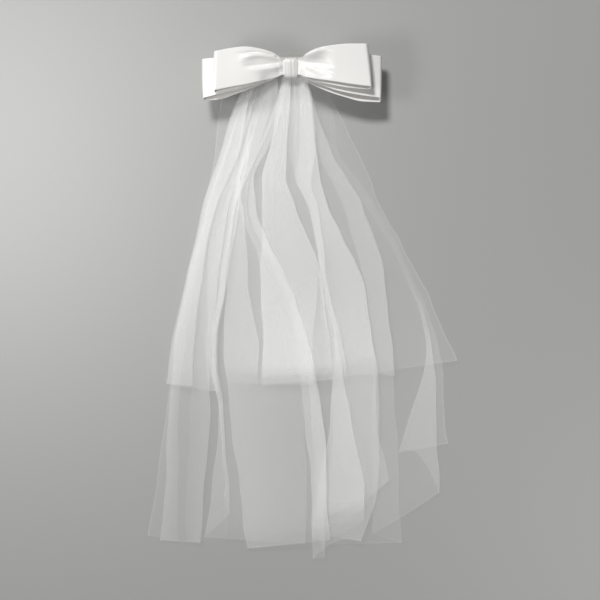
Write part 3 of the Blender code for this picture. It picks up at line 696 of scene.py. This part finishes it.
def back_row(step, tuck, creases):
    """Points across the back layer, which bends up to meet the front one's bottom edge."""
    x, y, across = band_places(step.x_top, step.x_bottom, step.top - tuck, step.bottom_back)
    opening = step.lift_front + step.rise - step.lift_back
    height = step.lift_back + LOOP_CLOSED_BELOW * opening * across ** LOOP_EDGE_POWER
    most = front_height(step, x, y, across, creases) - LOOP_LEAST_OPENING
    return np.stack([x, y, np.minimum(height, np.maximum(most, step.lift_back))], axis=-1)


def loop_rows(sections, bed, creases):
    """Rows from the knot out along the back layer, round the end and back along the front."""
    steps = bow_sections(sections)
    outwards = 1.0 if sections[-1].x_top > sections[0].x_top else -1.0
    tucks = [0.0] + [BOW_BACK_TUCK] * (len(steps) - 1)
    back = [back_row(step, tuck, creases) for step, tuck in zip(steps, tucks)]
    front = [front_row(step, creases) for step in steps]
    middle, half = (front[-1] + back[-1]) / 2, (front[-1] - back[-1]) / 2
    turn = []
    for number in range(1, BOW_TURN_STEPS):
        angle = pi * number / BOW_TURN_STEPS
        row = middle - half * cos(angle)
        row[:, 0] += outwards * BOW_TURN_DEPTH * half[:, 2] * sin(angle)
        turn.append(row)
    return [row + (0.0, 0.0, bed) for row in back + turn + front[::-1]]


def sew_ring(sheet):
    """Join the first and last rows of a band into a ring."""
    activate(sheet)
    bpy.ops.object.mode_set(mode="EDIT")
    bpy.ops.mesh.select_all(action="SELECT")
    bpy.ops.mesh.remove_doubles(threshold=SEWN_WITHIN * MM)
    bpy.ops.mesh.normals_make_consistent(inside=False)
    bpy.ops.object.mode_set(mode="OBJECT")


def give_wall(sheet, thickness):
    """Two thicknesses of satin with their edges turned in."""
    wall = sheet.modifiers.new("Wall", "SOLIDIFY")
    wall.thickness = thickness
    wall.offset = 0.0
    wall.use_even_offset = True
    bpy.ops.object.modifier_apply(modifier=wall.name)
    soft = sheet.modifiers.new("Soft", "SUBSURF")
    soft.levels = soft.render_levels = 1
    bpy.ops.object.modifier_apply(modifier=soft.name)
    bpy.ops.object.shade_smooth()


def make_band(name, rows, wall, material):
    """A satin band from rows of points that run once round the ring."""
    rows = np.array(rows + rows[:1])
    sheet = grid_sheet(name, rows.shape[1] - 1, rows.shape[0] - 1)
    order = lay_points(sheet, place_in_frame(rows[..., 0], rows[..., 1], rows[..., 2]))
    steps = np.linalg.norm(np.diff(rows, axis=0), axis=-1).mean(axis=1)
    along = np.concatenate([[0.0], np.cumsum(steps)])[:, None]
    width = np.linalg.norm(rows[:, -1] - rows[:, 0], axis=-1).max()
    across = np.linspace(0.0, width, rows.shape[1])[None, :]
    flat = np.stack(np.broadcast_arrays(along * MM, across * MM), axis=-1)
    write_uv(sheet, flat, order)
    sew_ring(sheet)
    give_wall(sheet, wall)
    sheet.data.materials.append(material)
    return sheet


def make_bow(name, left, right, bed, creases, wall, material):
    """A band with a loop on either side of the knot."""
    right_rows = loop_rows(right, bed, creases)
    left_rows = loop_rows(left, bed, creases)[::-1]
    return make_band(name, right_rows[:-1] + left_rows[:-1], wall, material)


def make_knot(name, bed_back, bed_front, wall, material):
    """A band wrapped round both bows, crowned in front and gathered lengthways."""
    rows = []
    half_y, middle_y = (KNOT_TOP - KNOT_BOTTOM) / 2, (KNOT_TOP + KNOT_BOTTOM) / 2
    half_z, middle_z = (bed_front - bed_back) / 2, (bed_front + bed_back) / 2
    across = np.linspace(-1.0, 1.0, KNOT_CELLS_ACROSS + 1)
    for step in range(KNOT_STEPS_ROUND):
        angle = 2.0 * pi * step / KNOT_STEPS_ROUND
        round_y, round_z = (np.sign(part) * abs(part) ** KNOT_SQUARENESS
                            for part in (sin(angle), cos(angle)))
        in_front = max(0.0, cos(angle))
        waist = KNOT_WIDTH_SIDE + (KNOT_WIDTH_FRONT - KNOT_WIDTH_SIDE) * smooth_step(in_front)
        gathers = sum(g.height * np.cos(pi * across * KNOT_WIDTH_FRONT / g.length + g.phase
                                        + KNOT_GATHER_SWAY * round_y) for g in KNOT_GATHERS)
        crown = KNOT_CROWN * (1.0 - across * across) + gathers * (1.0 - across ** 4)
        x = KNOT_MIDDLE_X + across * waist / 2
        y = np.full_like(x, middle_y + half_y * round_y)
        rows.append(np.stack([x, y, middle_z + half_z * round_z + crown * in_front ** 0.5],
                             axis=-1)[::-1])
    return make_band(name, rows, wall, material)


def add_node(tree, kind, inputs=None, **settings):
    """A node with its settings. An input takes a value or another node's output."""
    node = tree.nodes.new(kind)
    for name, value in settings.items():
        setattr(node, name, value)
    for name, value in (inputs or {}).items():
        if isinstance(value, bpy.types.NodeSocket):
            tree.links.new(value, node.inputs[name])
        else:
            node.inputs[name].default_value = value
    return node


def new_material(name, settings):
    """A material, its node tree and its surface shader, with the shader's own settings."""
    material = bpy.data.materials.new(name)
    material.use_nodes = True
    surface = material.node_tree.nodes["Principled BSDF"]
    for socket, value in settings.items():
        surface.inputs[socket].default_value = value
    return material, material.node_tree, surface


def tulle_material(name, colour, cover, cell):
    """Soft nylon tulle, a knitted net of hexagons: sheer where it is flat, whiter in folds."""
    material, tree, surface = new_material(name, {
        "Base Color": colour, "Roughness": 0.6, "Specular IOR Level": 0.25,
        "Sheen Weight": 0.15, "Sheen Roughness": 0.4})
    flat = add_node(tree, "ShaderNodeUVMap", uv_map="UVMap")
    wave_number = 2.0 * pi / cell
    waves = []
    for turn in (0.0, pi / 3, 2 * pi / 3):
        along = (wave_number * cos(turn), wave_number * sin(turn), 0.0)
        dot = add_node(tree, "ShaderNodeVectorMath", {0: flat.outputs["UV"], 1: along},
                       operation="DOT_PRODUCT")
        waves.append(add_node(tree, "ShaderNodeMath", {0: dot.outputs["Value"]},
                              operation="COSINE"))
    pair = add_node(tree, "ShaderNodeMath", {0: waves[0].outputs[0], 1: waves[1].outputs[0]},
                    operation="ADD")
    net = add_node(tree, "ShaderNodeMath", {0: pair.outputs[0], 1: waves[2].outputs[0]},
                   operation="ADD")
    thread = add_node(tree, "ShaderNodeMapRange",
                      {"Value": net.outputs[0], "From Min": -NET_EDGE, "From Max": NET_EDGE,
                       "To Min": 1.0 + NET_CONTRAST, "To Max": 1.0 - NET_CONTRAST})
    layers = add_node(tree, "ShaderNodeAttribute", attribute_name="threads")
    threads = add_node(tree, "ShaderNodeMath",
                       {0: layers.outputs["Fac"], 1: thread.outputs["Result"]},
                       operation="MULTIPLY")
    path = add_node(tree, "ShaderNodeLightPath")
    dimming = add_node(tree, "ShaderNodeMapRange",
                       {"Value": path.outputs["Is Shadow Ray"], "To Min": 1.0,
                        "To Max": SHADOW_SHARE})
    stopping = add_node(tree, "ShaderNodeMath",
                        {0: threads.outputs[0], 1: dimming.outputs["Result"]},
                        operation="MULTIPLY")
    seen_through = add_node(tree, "ShaderNodeMath", {0: 1.0 - cover, 1: stopping.outputs[0]},
                            operation="POWER")
    alpha = add_node(tree, "ShaderNodeMath", {0: 1.0, 1: seen_through.outputs[0]},
                     operation="SUBTRACT", use_clamp=True)
    tree.links.new(alpha.outputs[0], surface.inputs["Alpha"])
    return material


def satin_material(name, colour):
    """Duchess satin, a dense warp-faced weave: a soft broad gloss along its long floats."""
    material, tree, surface = new_material(name, {
        "Base Color": colour, "Roughness": 0.36, "Specular IOR Level": 0.55,
        "Sheen Weight": 0.2, "Sheen Roughness": 0.35})
    flat = add_node(tree, "ShaderNodeUVMap", uv_map="UVMap")
    per_metre = (1.0 / (FLOAT_LENGTH * MM), 1.0 / (FLOAT_SPACING * MM), 1.0)
    stretch = add_node(tree, "ShaderNodeMapping", {"Vector": flat.outputs["UV"],
                                                   "Scale": per_metre})
    floats = add_node(tree, "ShaderNodeTexNoise", {"Vector": stretch.outputs["Vector"],
                                                   "Scale": 1.0, "Detail": 2.0})
    weave = add_node(tree, "ShaderNodeBump", {"Height": floats.outputs["Fac"],
                                              "Strength": 0.12, "Distance": 0.2 * MM})
    tree.links.new(weave.outputs["Normal"], surface.inputs["Normal"])
    return material


def comb_material(name, colour):
    """Clear polystyrene from a polished mould: a hard gloss over faint flow marks."""
    material, tree, surface = new_material(name, {
        "Base Color": colour, "Roughness": 0.18, "Transmission Weight": 0.5})
    place = add_node(tree, "ShaderNodeTexCoord")
    flow = add_node(tree, "ShaderNodeTexNoise", {"Vector": place.outputs["Object"],
                                                 "Scale": 1.0 / (FLOW_MARK * MM),
                                                 "Detail": 2.0})
    bump = add_node(tree, "ShaderNodeBump", {"Height": flow.outputs["Fac"],
                                             "Strength": 0.05, "Distance": 0.3 * MM})
    tree.links.new(bump.outputs["Normal"], surface.inputs["Normal"])
    return material


def floor_material(name, colour):
    """Uncoated backdrop paper, which spreads the light evenly and has no gloss."""
    return new_material(name, {"Base Color": colour, "Roughness": 0.95,
                               "Specular IOR Level": 0.1})[0]


class VeilSize(bpy.types.PropertyGroup):
    """Sizes that a maker would choose."""

    net_cell: bpy.props.FloatProperty(
        name="Net Cell", description="Width of a cell of the tulle, as it is drawn",
        unit="LENGTH", precision=4, min=1.0 * MM, max=6.0 * MM, default=NET_CELL * MM)
    gather_height: bpy.props.FloatProperty(
        name="Gathers", description="Height of the fine gathers that the needle leaves",
        unit="LENGTH", precision=4, min=0.0, max=0.6 * MM, default=0.5 * MM)
    satin_wall: bpy.props.FloatProperty(
        name="Satin", description="Thickness of the bows' doubled satin",
        unit="LENGTH", precision=4, min=0.5 * MM, max=1.8 * MM, default=1.5 * MM)


class VeilLook(bpy.types.PropertyGroup):
    """Colours and cover that a maker would choose."""

    tulle_colour: bpy.props.FloatVectorProperty(
        name="Tulle", description="Colour of the net's threads", subtype="COLOR", size=4,
        min=0.0, max=1.0, default=linear("F6F6F5"))
    tulle_cover: bpy.props.FloatProperty(
        name="Cover", description="Share of the light that one flat layer of tulle stops",
        subtype="FACTOR", min=0.05, max=0.6, default=0.12)
    satin_colour: bpy.props.FloatVectorProperty(
        name="Satin", description="Colour of the bows' satin", subtype="COLOR", size=4,
        min=0.0, max=1.0, default=linear("F4F3F0"))
    # Painted shade: the knot is the bows' own satin, and this darker grey stands in for the shade that falls
    # between the loops and in the knot's gathers.
    knot_shaded_colour: bpy.props.FloatVectorProperty(
        name="Knot", description="Colour of the knot's satin, whose floats are seen end on",
        subtype="COLOR", size=4, min=0.0, max=1.0, default=linear("DDDCD9"))
    comb_colour: bpy.props.FloatVectorProperty(
        name="Comb", description="Colour of the comb's plastic", subtype="COLOR", size=4,
        min=0.0, max=1.0, default=linear("E4E3DE"))
    floor_colour: bpy.props.FloatVectorProperty(
        name="Floor", description="Colour of the paper that the veil lies on", subtype="COLOR",
        size=4, min=0.0, max=1.0, default=linear("B1B1AF"))


lower_panels = make_panels(LOWER_FOLDS, LOWER_SHARED_DROP)
lower_layers = Layers(lower_panels)
upper_panels = make_panels(UPPER_FOLDS, UPPER_SHARED_DROP)
upper_layers = Layers(upper_panels)


def satin_beds(wall):
    """Heights of the knot's back, the rear bow, the front bow and the knot's front."""
    apart = wall / MM + SEAM_GAP
    knot_back = heading_top([lower_layers, upper_layers]) + SEAM_GAP + wall / MM / 2
    rear_bed = knot_back + apart
    front_bed = rear_bed + REAR_LEFT[0].lift_front + apart
    return knot_back, rear_bed, front_bed, front_bed + FRONT_LEFT[0].lift_front + apart


class VEIL_OT_lower_tier(bpy.types.Operator):
    """Lay the longer tier of tulle, gathered and folded"""

    bl_idname = "veil.lower_tier"
    bl_label = "Lower Tier"

    def execute(self, context):
        look, size = context.scene.veil_look, context.scene.veil_size
        tulle = tulle_material("soft_nylon_tulle_lower", look.tulle_colour, look.tulle_cover,
                               size.net_cell)
        sheet = make_tier("lower_tier_tulle", lower_panels, lower_layers, [],
                          size.gather_height / MM, tulle)
        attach(sheet, "root")
        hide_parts("lower_tier")
        return {"FINISHED"}


class VEIL_OT_upper_tier(bpy.types.Operator):
    """Lay the shorter tier of tulle over the longer one"""

    bl_idname = "veil.upper_tier"
    bl_label = "Upper Tier"

    def execute(self, context):
        look, size = context.scene.veil_look, context.scene.veil_size
        tulle = tulle_material("soft_nylon_tulle_upper", look.tulle_colour, look.tulle_cover,
                               size.net_cell)
        sheet = make_tier("upper_tier_tulle", upper_panels, upper_layers, [lower_layers],
                          size.gather_height / MM, tulle)
        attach(sheet, "root")
        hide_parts("upper_tier")
        return {"FINISHED"}


class VEIL_OT_bows(bpy.types.Operator):
    """Fold the two satin bows"""

    bl_idname = "veil.bows"
    bl_label = "Bows"

    def execute(self, context):
        wall = context.scene.veil_size.satin_wall
        satin = satin_material("duchess_satin", context.scene.veil_look.satin_colour)
        _, rear_bed, front_bed, _ = satin_beds(wall)
        rear = make_bow("rear_bow_satin", REAR_LEFT, REAR_RIGHT, rear_bed, REAR_CREASES, wall,
                        satin)
        front = make_bow("front_bow_satin", FRONT_LEFT, FRONT_RIGHT, front_bed, FRONT_CREASES,
                         wall, satin)
        for sheet, node, flat, under in ((rear, "rear_bow", (0.52, 0.055), "upper_tier_tulle"),
                                         (front, "front_bow", (0.46, 0.052), "rear_bow_satin")):
            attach(sheet, "root")
            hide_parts(node)
        return {"FINISHED"}


class VEIL_OT_knot(bpy.types.Operator):
    """Wrap the knot round both bows"""

    bl_idname = "veil.knot"
    bl_label = "Knot"

    def execute(self, context):
        wall = context.scene.veil_size.satin_wall
        # The knot gets a darker copy of the bows' satin: its grey is painted shade.
        satin = satin_material("duchess_satin_knot", context.scene.veil_look.knot_shaded_colour)
        back, _, _, front = satin_beds(wall)
        knot = make_knot("knot_satin", back, front, wall, satin)
        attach(knot, "root")
        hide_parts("knot")
        return {"FINISHED"}


class VEIL_OT_comb(bpy.types.Operator):
    """Finish the comb under the headings"""

    bl_idname = "veil.comb"
    bl_label = "Comb"

    def execute(self, context):
        clear = comb_material("clear_moulded_plastic", context.scene.veil_look.comb_colour)
        comb = next(o for o in bpy.data.objects if o.get("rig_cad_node") == "comb")
        for slot in comb.material_slots:
            slot.material = clear
        return {"FINISHED"}


class VEIL_OT_stage(bpy.types.Operator):
    """Set the floor, the lights and the camera"""

    bl_idname = "veil.stage"
    bl_label = "Stage"

    def execute(self, context):
        deselect_all()
        bpy.ops.mesh.primitive_plane_add(size=FLOOR_SIZE, location=(0.0, 0.0, -FLOOR_BELOW))
        floor = context.active_object
        floor.name = "floor"
        paper = floor_material("matt_paper", context.scene.veil_look.floor_colour)
        floor.data.materials.append(paper)

        for light in STUDIO_LIGHTS:
            bpy.ops.object.light_add(type="AREA", location=(light.x, light.y, light.z))
            lamp = context.active_object
            lamp.name = light.name
            lamp.data.shape = "DISK"
            lamp.data.size = light.size
            lamp.data.energy = light.watts
            lamp.visible_camera = False

        world = bpy.data.worlds.new("soft_room")
        world.use_nodes = True
        room = world.node_tree.nodes["Background"]
        room.inputs["Color"].default_value = linear("FFFFFF")
        room.inputs["Strength"].default_value = ROOM_LIGHT
        context.scene.world = world

        bpy.ops.object.camera_add(location=CAMERA_PLACE, rotation=(0.0, 0.0, 0.0))
        camera = context.active_object
        camera.name = "camera"
        camera.data.lens = CAMERA_LENS
        camera.data.sensor_width = CAMERA_SENSOR
        context.scene.camera = camera

        context.scene.view_settings.view_transform = "Standard"
        context.scene.cycles.max_bounces = LIGHT_BOUNCES
        context.scene.cycles.diffuse_bounces = SOFT_BOUNCES
        context.scene.cycles.transparent_max_bounces = NET_LAYERS_SEEN
        return {"FINISHED"}


class VEIL_PT_parts(bpy.types.Panel):
    """Lists the veil's parts, sizes and colours"""

    bl_label = "Bridal Veil"
    bl_space_type = "VIEW_3D"
    bl_region_type = "UI"
    bl_category = "Veil"

    def draw(self, context):
        for maker in MAKERS:
            self.layout.operator(maker.bl_idname)
        for group in (context.scene.veil_size, context.scene.veil_look):
            for name in group.bl_rna.properties.keys():
                if name not in ("rna_type", "name"):
                    self.layout.prop(group, name)


MAKERS = (VEIL_OT_lower_tier, VEIL_OT_upper_tier, VEIL_OT_bows, VEIL_OT_knot, VEIL_OT_comb,
          VEIL_OT_stage)


def register():
    for kind in (VeilSize, VeilLook, *MAKERS, VEIL_PT_parts):
        bpy.utils.register_class(kind)
    bpy.types.Scene.veil_size = bpy.props.PointerProperty(type=VeilSize)
    bpy.types.Scene.veil_look = bpy.props.PointerProperty(type=VeilLook)


def unregister():
    del bpy.types.Scene.veil_look
    del bpy.types.Scene.veil_size
    for kind in (VEIL_PT_parts, *reversed(MAKERS), VeilLook, VeilSize):
        bpy.utils.unregister_class(kind)


def main():
    register()
    bpy.ops.veil.lower_tier()
    bpy.ops.veil.upper_tier()
    bpy.ops.veil.bows()
    bpy.ops.veil.knot()
    bpy.ops.veil.comb()
    bpy.ops.veil.stage()


if __name__ == "__main__":
    main()
